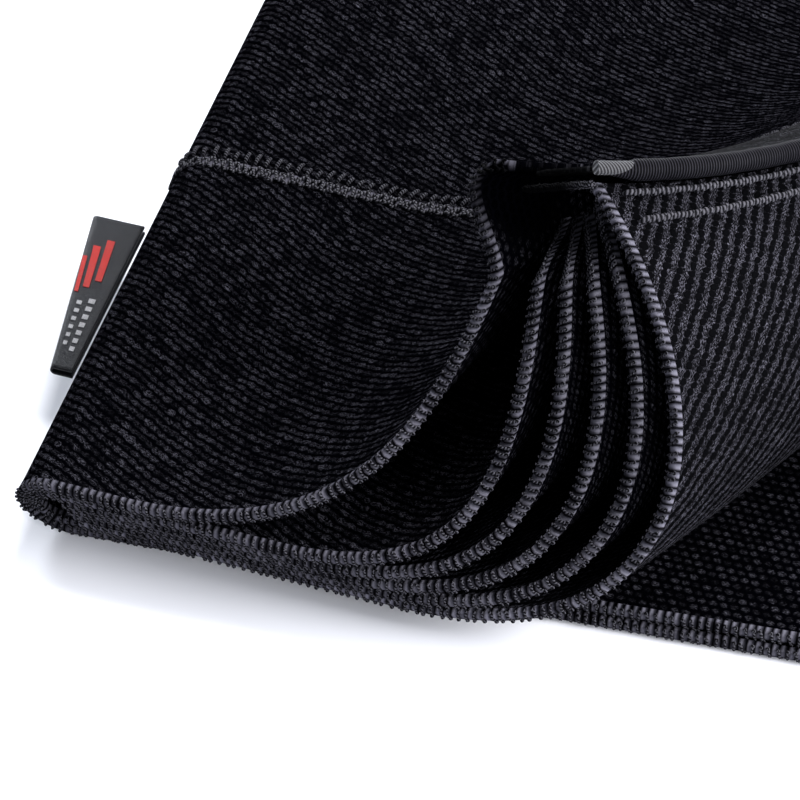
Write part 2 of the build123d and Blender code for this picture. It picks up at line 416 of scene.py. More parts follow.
def knitFinish(name, look):
    material, tree, shader = newFinish(name, 0.0, look["specular"])
    cloth = tree.nodes.new("ShaderNodeUVMap")
    cloth.uv_map = "cloth"
    place = tree.nodes.new("ShaderNodeTexCoord").outputs["Object"]
    face, panel, rim = markOf(tree, "outerFace"), markOf(tree, "returnPanel"), markOf(tree, "rimDistance")
    picks = []
    for part in ("top", "back", "inside"):
        row = look[part]
        picks.append(placeGroup(tree, knitRows, Cloth=cloth.outputs[0], RowPitch=row[0],
                                StitchPitch=row[1], Lean=row[2], Turn=math.radians(row[3]),
                                Wander=row[4], Soft=row[5], RowGap=row[6], StitchGap=row[7],
                                Open=row[8]))
    onFace = mathStep(tree, "GREATER_THAN", face, 0.5)
    onPanel = mathStep(tree, "GREATER_THAN", panel, 0.5)
    height = mixValue(tree, onPanel, picks[0].outputs["Height"], picks[1].outputs["Height"])
    height = mixValue(tree, onFace, picks[2].outputs["Height"], height)
    tone = mixValue(tree, onPanel, picks[0].outputs["Tone"], picks[1].outputs["Tone"])
    tone = mixValue(tree, onFace, picks[2].outputs["Tone"], tone)
    # ladder of rungs along the selvedge
    rung = mathStep(tree, "MULTIPLY", splitXyz(tree, cloth.outputs[0])[0], math.pi / rungPitch)
    rung = mathStep(tree, "COSINE", rung)
    rung = mathStep(tree, "POWER", mathStep(tree, "ABSOLUTE", rung), 0.8)
    rung = mathStep(tree, "MULTIPLY_ADD", picks[0].outputs["Fibre"], 0.25, rung)
    inLadder = mathStep(tree, "LESS_THAN", rim, look["ladderWidth"])
    height = mixValue(tree, inLadder, height, rung)
    shade = shadeYarn(tree, shader, look, height, tone, place)
    tree.links.new(shade.outputs["Roughness"], shader.inputs["Roughness"])
    bumpInto(tree, shader, height, look["relief"])
    return material


def threadFinish(name, look, ownMap=True):
    material, tree, shader = newFinish(name, look["sheen"], look["specular"])
    place = tree.nodes.new("ShaderNodeTexCoord").outputs["Object"]
    if ownMap:
        thread = tree.nodes.new("ShaderNodeUVMap")
        thread.uv_map = "cloth"
    else:
        thread = tree.nodes.new("ShaderNodeMapping")   # a CAD node has no map: metres to millimetres
        thread.inputs["Scale"].default_value = (1000.0, 1000.0, 1000.0)
        tree.links.new(place, thread.inputs["Vector"])
    twist = placeGroup(tree, threadTwist, Thread=thread.outputs[0], Lay=look["lay"], Slant=look["slant"])
    tone = noiseOf(tree, place, look["patch"], 2.0, 0.6)
    shade = shadeYarn(tree, shader, look, twist.outputs["Height"], tone, place)
    rough = mathStep(tree, "ADD", shade.outputs["Roughness"], look["roughShift"])
    tree.links.new(rough, shader.inputs["Roughness"])
    bumpInto(tree, shader, twist.outputs["Height"], look["relief"])
    return material


# row pitch, stitch pitch, lean, turn in degrees, wander, softness, gap between rows, gap between
# stitches, and 1 where the cloth shows small openings instead of raised floats
padRows = (1.45, 1.2, 0.9, 3, 0.5, 0.6, 2.3, 2.0, 0.0)
wingRows = (1.85, 1.45, 0.5, 32, 1.2, 0.7, 3.3, 1.65, 1.0)
hemRows = (1.2, 1.5, 0.8, 8, 0.6, 0.6, 2.3, 1.8, 0.0)
# deep and crown are the painted shade between the stitches and the painted highlight on their crowns
knitLooks = {
    "outer": {
        "top": (1.5, 1.9, 0.0, -29, 1.3, 0.6, 2.3, 1.5, 0.0),
        "back": (2.5, 1.95, 0.25, -76, 0.7, 0.6, 2.35, 1.75, 0.0),
        "inside": (1.5, 1.75, 0.15, 4, 0.5, 0.7, 2.3, 2.1, 0.0),
        "ladderWidth": 1.15, "deep": (0.0003, 0.0003, 0.0007), "crown": (0.066, 0.064, 0.083),
        "rub": 0.25, "relief": 0.0009, "specular": 0.0,
    },
    "pad": {
        "top": padRows, "back": padRows,
        "inside": (1.5, 1.15, -0.9, 2, 0.5, 0.6, 2.3, 2.0, 0.0),
        "ladderWidth": 1.15, "deep": (0.0003, 0.0003, 0.0007), "crown": (0.068, 0.066, 0.084),
        "rub": 0.25, "relief": 0.0009, "specular": 0.0,
    },
    "wing": {
        "top": padRows, "back": wingRows, "inside": wingRows,
        "ladderWidth": 1.15, "deep": (0.0003, 0.0003, 0.0007), "crown": (0.105, 0.102, 0.132),
        "rub": 0.3, "relief": 0.0007, "specular": 0.02,
    },
    "hem": {
        "top": hemRows, "back": hemRows, "inside": hemRows,
        "ladderWidth": 0.0, "deep": (0.0006, 0.0006, 0.001), "crown": (0.12, 0.118, 0.14),
        "rub": 0.4, "relief": 0.0007, "specular": 0.03,
    },
}
rungPitch = 1.3   # of the ladder along a selvedge
# deep and crown are the painted shade in the twist grooves and the painted highlight on the threads
threadLooks = {
    "edging": {"lay": 0.5, "slant": 1.0, "patch": 700.0, "rub": 0.7, "relief": 0.00012,
               "deep": (0.0004, 0.0004, 0.0008), "crown": (0.027, 0.026, 0.034),
               "sheen": 0.0, "specular": 0.02, "roughShift": -0.06},
    "zigzag": {"lay": 0.7, "slant": 1.0, "patch": 600.0, "rub": 0.6, "relief": 0.00006,
               "deep": (0.001, 0.001, 0.002), "crown": (0.044, 0.043, 0.052),
               "sheen": 0.0, "specular": 0.04, "roughShift": -0.1},
    "satin": {"lay": 0.5, "slant": 0.3, "patch": 220.0, "rub": 0.15, "relief": 0.0003,
              "deep": (0.0006, 0.0006, 0.001), "crown": (0.010, 0.0095, 0.0135),
              "sheen": 0.0, "specular": 0.045, "roughShift": -0.25},
    "core": {"lay": 1.2, "slant": 2.0, "patch": 300.0, "rub": 0.3, "relief": 0.0002,
             "deep": (0.01, 0.01, 0.012), "crown": (0.05, 0.05, 0.055),
             "sheen": 0.1, "specular": 0.3, "roughShift": 0.0},
}
outerKnit = knitFinish("outerElasticKnit", knitLooks["outer"])
padKnit = knitFinish("padElasticKnit", knitLooks["pad"])
wingKnit = knitFinish("wingElasticKnit", knitLooks["wing"])
hemKnit = knitFinish("hemElasticKnit", knitLooks["hem"])
edgingThread = threadFinish("edgingThread", threadLooks["edging"])
zigzagThread = threadFinish("zigzagThread", threadLooks["zigzag"])
satinThread = threadFinish("weltSatinThread", threadLooks["satin"])
print("finishes made")


def newSkein():
    return {"points": [], "faces": [], "corners": []}


def addThread(skein, path, radii, sides=5):
    path = [Vector(p) for p in path]
    first = len(skein["points"])
    side = None
    gone = 0.0
    lengths = []
    for k, point in enumerate(path):
        ahead = (path[min(k + 1, len(path) - 1)] - path[max(k - 1, 0)]).normalized()
        if side is None:
            side = ahead.orthogonal().normalized()
        side = (side - ahead * side.dot(ahead)).normalized()
        over = ahead.cross(side)
        if k:
            gone += (point - path[k - 1]).length
        lengths.append(gone)
        for corner in range(sides):
            turn = 2 * math.pi * corner / sides
            ring = side * math.cos(turn) + over * math.sin(turn)
            skein["points"].append(tuple(point + ring * radii[k]))
    for k in range(len(path) - 1):
        for corner in range(sides):
            after = (corner + 1) % sides
            low, high = first + k * sides, first + (k + 1) * sides
            skein["faces"].append((low + corner, low + after, high + after, high + corner))
            near, far = corner / sides, (corner + 1) / sides
            skein["corners"].extend([(lengths[k], near), (lengths[k], far),
                                     (lengths[k + 1], far), (lengths[k + 1], near)])
    last = first + (len(path) - 1) * sides
    skein["faces"].append(tuple(first + sides - 1 - corner for corner in range(sides)))
    skein["corners"].extend([(0.0, corner / sides) for corner in range(sides)])
    skein["faces"].append(tuple(last + corner for corner in range(sides)))
    skein["corners"].extend([(gone, corner / sides) for corner in range(sides)])


def addKnob(skein, middle, out, sizes):
    # a small rounded loop head
    middle, out = Vector(middle), Vector(out).normalized()
    path = [middle + out * sizes[1] * s for s in (-0.95, -0.55, 0.1, 0.7, 0.98)]
    radii = [sizes[0] * s for s in (0.3, 0.85, 1.0, 0.72, 0.22)]
    addThread(skein, path, radii, 6)


def layPiece(name, points, faces, corners, material, body, marks=None, smooth=True):
    mesh = bpy.data.meshes.new(name)
    mesh.from_pydata([tuple(p) for p in toRowFrame(points)], [], faces)
    mesh.update()
    layer = mesh.uv_layers.new(name="cloth")
    layer.data.foreach_set("uv", np.asarray(corners, np.float32).ravel())
    for label, values in (marks or {}).items():
        mark = mesh.attributes.new(label, "FLOAT", "POINT")
        mark.data.foreach_set("value", np.asarray(values, np.float32))
    mesh.polygons.foreach_set("use_smooth", [smooth] * len(mesh.polygons))
    mesh.materials.append(material)
    piece = bpy.data.objects.new(name, mesh)
    bpy.context.scene.collection.objects.link(piece)
    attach(piece, body)
    return piece


def acrossOf(middle):
    across = np.gradient(middle, axis=1)
    return across / (np.linalg.norm(across, axis=2)[..., None] + 1e-12)


def unitNormal(middle):
    normal = -np.cross(np.gradient(middle, axis=0), np.gradient(middle, axis=1))
    return normal / (np.linalg.norm(normal, axis=2)[..., None] + 1e-12)


def clothRuns(middle):
    # distances along the cloth and across it
    steps = np.linalg.norm(np.diff(middle, axis=0), axis=2)
    along = np.concatenate([np.zeros((1, steps.shape[1])), np.cumsum(steps, axis=0)])
    widths = np.linalg.norm(np.diff(middle, axis=1), axis=2)
    wide = np.concatenate([np.zeros((widths.shape[0], 1)), np.cumsum(widths, axis=1)], axis=1)
    return along, wide


def roundRing(values):
    # one face, its far edge, the other face backwards, the near edge
    return np.concatenate([values, values[:, -1:], values[:, ::-1], values[:, :1]], axis=1)


def layShell(name, ring, rows, uv, material, body, marks=None):
    # closes a strip of rings: quads round them, and a flat end at each side
    count, size = ring.shape[:2]
    edged = size > 2 * rows
    last = 2 * rows - 1 + edged
    i, j = np.meshgrid(np.arange(count - 1), np.arange(size), indexing="ij")
    after = (j + 1) % size
    quads = np.stack([i * size + j, (i + 1) * size + j, (i + 1) * size + after, i * size + after], axis=2)
    faces = quads.reshape(-1, 4).tolist()
    for station, order in ((0, 1), (count - 1, -1)):
        base = station * size
        for k in range(rows - 1):
            quad = [base + k, base + k + 1, base + last - k - 1, base + last - k]
            faces.append(quad[::order])
        if edged:
            faces.append([base + rows - 1, base + rows, base + rows + 1][::order])
            faces.append([base + last + 1, base, base + last][::order])
    corners = np.concatenate([uv[np.asarray(face)] for face in faces])
    return layPiece(name, ring.reshape(-1, 3), faces, corners, material, body, marks)


def layThread(name, skein, material, body="sleeve"):
    # every thread carries the painted shade of the mouth
    return layPiece(name, skein["points"], skein["faces"], skein["corners"], material, body,
                    {"mouthPaintedShade": mouthPaintedShade(skein["points"])})


plySettings = {
    "step": 1.15,            # mesh step along and across the visible cloth
    "hiddenStep": 2.2,       # the same on the underside
    "curl": 118, "bottom": 147, "panel": 112,   # lengths that the steps divide
    "slack": 0.12,           # how much thinner a half ply is than its solid
    "selvedgeSwell": 0.12,   # the knitted-in edge is a little thicker
    "selvedgeWidth": 2.5,
    "nearRound": 0.33, "farRound": 0.055,
    "innerRecess": 0.018,    # the inner ply's lower rim steps back as it goes right
    "mouthRecess": (0.0, 0.02, 0.02, 0.02, 0.02, 0.0),   # how far each rim is drawn in at the seam
    "recessFrom": 0.78,
    "facePale": 0.6,         # the outer face keeps only part of the painted shade in the mouth
}


def facing(points, towards):
    along = np.gradient(points, axis=0)
    across = np.gradient(points, axis=1)
    normal = np.cross(along, across)
    normal /= np.linalg.norm(normal, axis=2)[..., None] + 1e-12
    flip = np.sign((normal * np.asarray(towards, float)).sum())   # one side for the whole patch
    return normal * flip


def bandY(y0, t, front, roundness):
    # y of a row of stitches, for a rim at y0 and a share t of the band's width
    join, back = sleeve["joinY"], sleeve["backRim"]
    if front:
        return y0 * (1 - t) * (1 - roundness * t / 2) + join * t
    return join + (back - join) * t - roundness * y0 * t * (1 - t) / 2


def upperStretch(layer, front, t):
    half = sleeve["plyThickness"] / 2
    v = t / 2 if front else 0.5 + t / 2
    count = int(plySettings["curl"] / plySettings["step"])
    u = np.linspace(1, 0, count)
    start = plySettings["recessFrom"]
    drawn = plySettings["mouthRecess"][layer - 1] * np.clip((u - start) / (1 - start), 0, 1) ** 2
    across = v[None, :]
    if front:
        across = drawn[:, None] + (0.5 - drawn[:, None]) * t[None, :]
    curl = onNet(upperNet(layer), u[:, None], across)
    if front:
        fade = (1 - t) ** 1.5
        if layer == 1:
            rise = np.sin(math.pi * 0.85 * np.clip((u - mouth["from"]) / (1 - mouth["from"]), 0, 1) ** 1.4)
            shift = mouth["hood"]
        else:
            rise = np.clip((u - mouth["tuckFrom"]) / (1 - mouth["tuckFrom"]), 0, 1)
            rise = rise ** 2 * (3 - 2 * rise) * mouth["tuckShare"][layer - 1]
            shift = mouth["tuck"]
        curl = curl + (rise[:, None] * fade[None, :])[..., None] * np.array(shift)
    curl = curl + facing(curl, (-0.3, 0.2, 1)) * half
    foot = onNet(upperNet(layer), 0.0, v)
    foot[:, 2] += half
    inset = 0.6 * (layer - 2) if layer > 2 else 0.0
    left = foot.copy()
    left[:, 0] = foldX(foot[:, 1]) + inset
    long = max(np.linalg.norm(foot - left, axis=1))
    share = np.linspace(0, 1, max(3, int(long / plySettings["step"])))[1:]
    flat = foot[None] * (1 - share[:, None, None]) + left[None] * share[:, None, None]
    return np.concatenate([curl, flat])


def loopStretch(layer, front, t):
    half = sleeve["plyThickness"] / 2
    lower = 9 - layer
    upper = upperStretch(layer, front, t)
    folded = upper.shape[0] - 1
    radius = sleeve["foldRadius"] - baseHeight(lower) - half
    turns = np.linspace(0, math.pi, 24)[1:]
    y0 = rimStart(layer) + (sleeve["lowerRimStart"] - rimStart(layer)) * (1 - np.cos(turns)) / 2
    roundness = 1 - turns / math.pi
    y = np.array([bandY(a, t, front, b) for a, b in zip(y0, roundness)])
    fold = np.stack([foldX(y) - radius * np.sin(turns)[:, None],
                     y, sleeve["foldRadius"] + radius * np.cos(turns)[:, None] + 0 * y], axis=2)
    share = np.linspace(0, 1, int(plySettings["bottom"] / plySettings["hiddenStep"]))[1:]
    x = foldX(fold[-1, :, 1])[None] * (1 - share[:, None]) + sleeve["flatEnd"] * share[:, None]
    rim = lowerRim(x)
    if layer == 2:
        rim = rim + plySettings["innerRecess"] * np.maximum(x - 40, 0)
    if front:
        bottomY = rim * (1 - t) + sleeve["joinY"] * t
    else:
        bottomY = np.broadcast_to(bandY(0, t, False, 0), x.shape)
    bottom = np.stack([x, bottomY, np.full(x.shape, baseHeight(lower) + half)], axis=2)
    net = returnNet(lower)
    y0 = lowerRim(sleeve["flatEnd"])
    turn = (sleeve["joinY"] - y0) / (sleeve["backRim"] - y0)
    v = turn * t if front else turn + (1 - turn) * t
    u = np.linspace(0, 1, int(plySettings["panel"] / plySettings["step"]))[1:]
    back = onNet(net, u[:, None], v[None, :])
    back = back + facing(back, (-1, 0, 0)) * half
    if layer == 2 and front:
        shift = bottom[-1, 0, 1] - y0
        back[:, :, 1] += shift * (1 - t)[None] * (1 - u[:, None]) ** 2
    whole = np.concatenate([upper, fold, bottom, back])
    panelFrom = upper.shape[0] + fold.shape[0] + bottom.shape[0] - 6
    return whole, folded, panelFrom


def smoothAlong(values, passes):
    for _ in range(passes):
        values[1:-1] = 0.25 * values[:-2] + 0.5 * values[1:-1] + 0.25 * values[2:]
    return values


def plyShell(name, layer, front, material):
    bandRows = int(sleeve["joinY"] / plySettings["step"])
    t = np.linspace(0, 1, bandRows)
    if layer <= 2:
        middle, folded, panelFrom = loopStretch(layer, front, t)
    else:
        middle = upperStretch(layer, front, t)
        folded, panelFrom = middle.shape[0] - 1, middle.shape[0] + 1
    normal = smoothAlong(unitNormal(middle), 2)
    normal /= np.linalg.norm(normal, axis=2)[..., None] + 1e-12
    across = acrossOf(middle)
    along, wide = clothRuns(middle)
    along = along - along[folded]
    fromRim = np.minimum(wide, wide[:, -1:] - wide)
    swell = plySettings["selvedgeSwell"] * np.clip(1 - fromRim / plySettings["selvedgeWidth"], 0, 1)
    half = (sleeve["plyThickness"] / 2 - plySettings["slack"] + swell)[..., None]
    edgeNear = middle[:, :1] - across[:, :1] * plySettings["nearRound"]
    edgeFar = middle[:, -1:] + across[:, -1:] * plySettings["farRound"]
    inside = middle - normal * half
    ring = np.concatenate([middle + normal * half, edgeFar, inside[:, ::-1], edgeNear], axis=1)
    rows = middle.shape[1]
    side = np.zeros(ring.shape[:2])
    side[:, :rows] = 1.0
    panel = np.zeros(ring.shape[:2])
    panel[panelFrom:] = 1.0
    uv = np.stack([roundRing(along).ravel(), roundRing(wide).ravel()], axis=1)
    # painted shade in the mouth, with less of it on the outer face of the outer ply
    paintedShade = mouthPaintedShade(ring.reshape(-1, 3))
    if layer == 1:
        paintedShade = paintedShade * (1 - plySettings["facePale"] * side.ravel())
    piece = layShell(name, ring, rows, uv, material, "sleeve",
                     {"outerFace": side.ravel(), "returnPanel": panel.ravel(),
                      "rimDistance": roundRing(fromRim).ravel(), "mouthPaintedShade": paintedShade})
    return piece, {"middle": middle, "normal": normal, "across": across, "along": along}


plies = {}


def plyName(layer, front):
    label = {1: "outer_ply", 2: "inner_ply"}.get(layer, f"pad_ply_{layer - 2}")
    return f"{label}_{'front' if front else 'rear'}"


for layer in range(1, 7):
    for front in (True, False):
        node = plyName(layer, front)
        knit = outerKnit if layer <= 2 else wingKnit if layer == 6 else padKnit
        piece, run = plyShell(node + "_knit", layer, front, knit)
        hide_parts(node)
        plies[node] = (piece, run)
print("plies knitted")


edging = {
    "pitch": 1.38,
    "loopRadius": 0.80,
    "threadRadius": 0.21,
    "reach": 118,            # degrees each way that a loop wraps round the rim
    "lean": 0.22,
    "jitter": 0.26,
    "leanSpread": (-0.4, 2.2), "radiusSpread": (0.88, 1.1), "threadSpread": (0.8, 1.25),
    "knobSpread": (0.9, 1.15),
    "innerKnob": (0.26, 0.26),
    "outerKnob": (0.36, 0.34),
    "table": 0.05,           # nothing dips below this height
}


def walkAlong(points, pitch):
    steps = np.linalg.norm(np.diff(points, axis=0), axis=1)
    gone = np.concatenate([[0], np.cumsum(steps)])
    places = np.arange(pitch / 2, gone[-1], pitch)
    index = np.interp(places, gone, np.arange(len(gone)))
    return index


def atIndex(values, index):
    low = int(index)
    high = min(low + 1, len(values) - 1)
    part = index - low
    return Vector((values[low] * (1 - part) + values[high] * part).tolist())


def edgeRim(name, run, near, knobs):
    column = 0 if near else -1
    out = -1.0 if near else 1.0
    middle, normal = run["middle"][:, column], run["normal"][:, column]
    across = run["across"][:, column] * out
    ahead = np.gradient(middle, axis=0)
    skein = newSkein()
    for index in walkAlong(middle, edging["pitch"]):
        centre, face = atIndex(middle, index), atIndex(normal, index).normalized()
        away, along = atIndex(across, index).normalized(), atIndex(ahead, index).normalized()
        jitter = random.uniform(-edging["jitter"], edging["jitter"])
        lean = edging["lean"] * random.uniform(*edging["leanSpread"])
        radius = edging["loopRadius"] * random.uniform(*edging["radiusSpread"])
        path = []
        for k in range(7):
            turn = math.radians(edging["reach"] * (k / 3.0 - 1.0))
            path.append(centre + away * (radius * 0.75 * math.cos(turn) - 0.1)
                        + face * (radius * 1.02 * math.sin(turn))
                        + along * (lean * (k / 3.0 - 1.0) + jitter))
        thick = edging["threadRadius"] * random.uniform(*edging["threadSpread"])
        path = [Vector((p.x, p.y, max(p.z, edging["table"] + thick))) for p in path]
        radii = [thick * s for s in (0.7, 1.0, 1.1, 1.0, 1.1, 1.0, 0.7)]
        addThread(skein, path, radii, 5)
        if knobs:
            for way, size in ((1.0, edging["innerKnob"]), (-1.0, edging["outerKnob"])):
                seat = centre + face * (way * 0.88) + away * 0.18
                seat += along * (way * lean + jitter)
                seat.z = max(seat.z, edging["table"] + size[0])
                addKnob(skein, seat, away + face * way * 0.6,
                        [s * random.uniform(*edging["knobSpread"]) for s in size])
    return layThread(name, skein, edgingThread)


for node, (piece, run) in plies.items():
    front = node.endswith("front")
    rim = edgeRim(node + "_edging", run, front, front)
print("rims overlocked")


joinSeam = {
    "threadRadius": 0.25,
    "halfWidth": 1.7,
    "step": 1.45,
    "lift": 0.12,
    "strandGap": 0.22,       # the second strand lies over the first
    "shift": 0.4,            # towards the front rim
    "swingSpread": (0.65, 1.15),
    "rungPitch": 1.9,
    "rungStart": 1.6, "rungLength": 2.6, "rungSpread": (0.7, 1.15),
}


def joinZigzag():
    run = plies["outer_ply_front"][1]
    middle, normal = run["middle"][:, -1], run["normal"][:, -1]
    across = run["across"][:, -1]
    skein = newSkein()
    half = sleeve["plyThickness"] / 2 + joinSeam["lift"]
    for strand in (0, 1):
        path = []
        for n, index in enumerate(walkAlong(middle, joinSeam["step"])):
            centre, face = atIndex(middle, index), atIndex(normal, index).normalized()
            away = atIndex(across, index).normalized()
            swing = joinSeam["halfWidth"] * (1 if (n + strand) % 2 else -1)
            swing *= random.uniform(*joinSeam["swingSpread"])
            path.append(centre + face * (half + joinSeam["strandGap"] * strand)
                        + away * (swing - joinSeam["shift"]))
        rounded = []
        for a, b in zip(path, path[1:]):
            rounded += [a * 0.86 + b * 0.14, (a + b) / 2, a * 0.14 + b * 0.86]
        addThread(skein, rounded, [joinSeam["threadRadius"]] * len(rounded), 5)
    return layThread("top_join_zigzag", skein, zigzagThread)


def joinRungs():
    # the rear band's knitted-in edge shows as a ladder of short bars behind the zigzag
    run = plies["outer_ply_rear"][1]
    middle, normal = run["middle"][:, 0], run["normal"][:, 0]
    across = run["across"][:, 0]
    skein = newSkein()
    half = sleeve["plyThickness"] / 2
    for index in walkAlong(middle, joinSeam["rungPitch"]):
        centre, face = atIndex(middle, index), atIndex(normal, index).normalized()
        away = atIndex(across, index).normalized()
        length = joinSeam["rungLength"] * random.uniform(*joinSeam["rungSpread"])
        path = [centre + away * (joinSeam["rungStart"] + length * s) + face * (half + h)
                for s, h in ((0.0, -0.1), (0.2, 0.25), (0.5, 0.34), (0.8, 0.25), (1.0, -0.1))]
        addThread(skein, path, [0.24, 0.34, 0.38, 0.34, 0.24], 6)
    return layThread("rear_band_ladder", skein, edgingThread)


zigzag = joinZigzag()
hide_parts("top_join_zigzag_thread")
joinRungs()
print("join sewn")


weltSettings = {
    "radius": 1.75,
    "lift": 2.55,
    "stations": 190,
    "sides": 26,
    "unevenness": 0.015,
    "tip": 0.2, "taper": 0.07,   # share of the radius at each end, and its growth per station
}


def ridgePath(count, lift):
    t = np.linspace(0, 1, count)
    a, b, c = (np.array(p, float) for p in sleeve["ridge"])
    path = ((1 - t) ** 2)[:, None] * a + (2 * t * (1 - t))[:, None] * b + (t ** 2)[:, None] * c
    path[:, 2] += lift
    return path


def weltCover():
    path = ridgePath(weltSettings["stations"], weltSettings["lift"])
    skein = newSkein()
    radii = []
    for k in range(len(path)):
        wave = math.sin(k * 0.55) + 0.6 * math.sin(k * 0.23 + 1.3) + random.uniform(-0.4, 0.4)
        closed = min(1.0, weltSettings["tip"] + weltSettings["taper"] * min(k, len(path) - 1 - k))
        radii.append(weltSettings["radius"] * closed * (0.99 + weltSettings["unevenness"] * wave))
    addThread(skein, [tuple(p) for p in path], radii, weltSettings["sides"])
    return layThread("satin_welt", skein, satinThread)


welt = weltCover()
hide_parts("seam_welt_cover")
coreFinish = threadFinish("weltCoreCord", threadLooks["core"], ownMap=False)
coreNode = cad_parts["seam_welt_core"]
for slotItem in coreNode.material_slots:
    slotItem.material = coreFinish
print("welt covered")


def clothPatch(name, middle, thickness, material, normalTowards):
    normal = facing(middle, normalTowards)
    across = acrossOf(middle)
    inside = middle - normal * thickness / 2
    near = middle[:, :1] - across[:, :1] * thickness * 0.4
    far = middle[:, -1:] + across[:, -1:] * thickness * 0.4
    ring = np.concatenate([middle + normal * thickness / 2, far, inside[:, ::-1], near], axis=1)
    along, wide = clothRuns(middle)
    uv = np.stack([roundRing(along).ravel(), roundRing(wide).ravel()], axis=1)
    flat = np.zeros(len(uv))
    # the patch carries the painted shade of the mouth
    piece = layShell(name, ring, middle.shape[1], uv, material, "sleeve",
                     {"outerFace": flat, "returnPanel": flat, "rimDistance": flat + 9.0,
                      "mouthPaintedShade": mouthPaintedShade(ring.reshape(-1, 3))})
    turnOutwards(piece)
    return piece


def turnOutwards(piece):
    bpy.ops.object.select_all(action="DESELECT")
    bpy.context.view_layer.objects.active = piece
    piece.select_set(True)
    bpy.ops.object.mode_set(mode="EDIT")
    bpy.ops.mesh.select_all(action="SELECT")
    bpy.ops.mesh.normals_make_consistent(inside=False)
    bpy.ops.object.mode_set(mode="OBJECT")
    piece.select_set(False)


tapeSettings = {
    "plies": (0.5, 6.1), "start": 0.02, "lift": 2.5, "thickness": 0.8, "crown": 0.25,
    "zigzagStep": 1.1, "zigzagWidth": 0.8, "zigzagShift": 0.6, "zigzagLift": 0.62, "thread": 0.26,
}
hemSettings = {
    "from": 0.02, "to": 0.40, "low": 0.93, "high": 0.99, "gap": 0.25, "thickness": 0.9,
    "puff": 0.22, "ripple": 0.12, "rippleRate": 210.0,
}


def bindingTape():
    v = np.linspace(tapeSettings["start"], 1, 150)
    rows = np.linspace(tapeSettings["plies"][0], tapeSettings["plies"][1], 8)
    weights = [(1 - v) ** 2, 2 * v * (1 - v), v ** 2]
    middle = np.zeros((len(v), len(rows), 3))
    for k, back in enumerate(rows):
        for row in range(3):
            middle[:, k] += weights[row][:, None] * np.array(beside(row, back))
    middle[:, :, 2] += tapeSettings["lift"] + tapeSettings["thickness"] / 2
    middle[:, 1:-1, 2] += tapeSettings["crown"]
    return clothPatch("seam_binding", middle, tapeSettings["thickness"], hemKnit, (0, 0, 1)), middle


def ventHem():
    net = upperNet(6)
    v = np.linspace(hemSettings["from"], hemSettings["to"], 90)
    u = np.linspace(hemSettings["low"], hemSettings["high"], 8)
    middle = onNet(net, u[None, :], v[:, None])
    outward = -facing(middle, (-0.3, 0.2, 1))
    puff = hemSettings["puff"] * np.sin(np.linspace(0, math.pi, len(u)))
    middle = middle + outward * (hemSettings["gap"] + hemSettings["thickness"] / 2 + puff[None, :, None])
    ripple = hemSettings["ripple"] * np.sin(v * hemSettings["rippleRate"])
    middle = middle + outward * ripple[:, None, None]
    return clothPatch("vent_hem", middle, hemSettings["thickness"], hemKnit, (0.3, -0.2, -1))


tape, tapeMiddle = bindingTape()
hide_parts("seam_binding_tape")
hem = ventHem()
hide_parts("vent_hem_band")

stitchSettings = {
    "count": 34, "length": 2.4, "radius": 0.42,
    "rows": (("upper", 0.98), ("lower", 0.94)),
    "from": 0.035, "span": 0.35,
    "lift": 0.32, "lengthSpread": (0.75, 1.15), "slewSpread": (0.1, 1.1),
}


def lockStitches(label, u):
    net = upperNet(6)
    skein = newSkein()
    off = hemSettings["gap"] + hemSettings["thickness"] + stitchSettings["lift"]
    for n in range(stitchSettings["count"]):
        v = stitchSettings["from"] + stitchSettings["span"] * n / (stitchSettings["count"] - 1)
        out = netNormal(net, u, v)
        run = (netPoint(net, u, v + 0.01) - netPoint(net, u, v)).normalized()
        side = out.cross(run).normalized()
        seat = netPoint(net, u, v) + out * off
        length = stitchSettings["length"] * random.uniform(*stitchSettings["lengthSpread"])
        slew = random.uniform(*stitchSettings["slewSpread"])
        path = [seat + run * length * (s - 0.5) + out * h + side * slew * (s - 0.5)
                for s, h in ((0.0, -0.45), (0.14, 0.02), (0.5, 0.16), (0.86, 0.02), (1.0, -0.45))]
        addThread(skein, path, [stitchSettings["radius"] * s for s in (0.7, 1.0, 1.12, 1.0, 0.7)], 7)
    return layThread(f"hem_{label}_stitches", skein, zigzagThread)


for label, u in stitchSettings["rows"]:
    row = lockStitches(label, u)
    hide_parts(f"hem_{label}_lock_stitches")


def tapeZigzag():
    skein = newSkein()
    path = []
    for n, index in enumerate(walkAlong(tapeMiddle[:, 1], tapeSettings["zigzagStep"])):
        centre = atIndex(tapeMiddle[:, 1], index)
        across = (atIndex(tapeMiddle[:, 3], index) - centre).normalized()
        swing = tapeSettings["zigzagWidth"] * (1 if n % 2 else -1) - tapeSettings["zigzagShift"]
        path.append(centre + Vector((0, 0, tapeSettings["zigzagLift"])) + across * swing)
    addThread(skein, path, [tapeSettings["thread"]] * len(path), 5)
    return layThread("binding_zigzag", skein, zigzagThread)


tackSettings = {
    "ahead": (-0.2, -0.9, 0.3),   # clear of the ply ends
    "pitch": 0.42, "wrap": 0.5, "wrapSpread": (0.8, 1.25), "thread": 0.2, "core": 0.36,
}


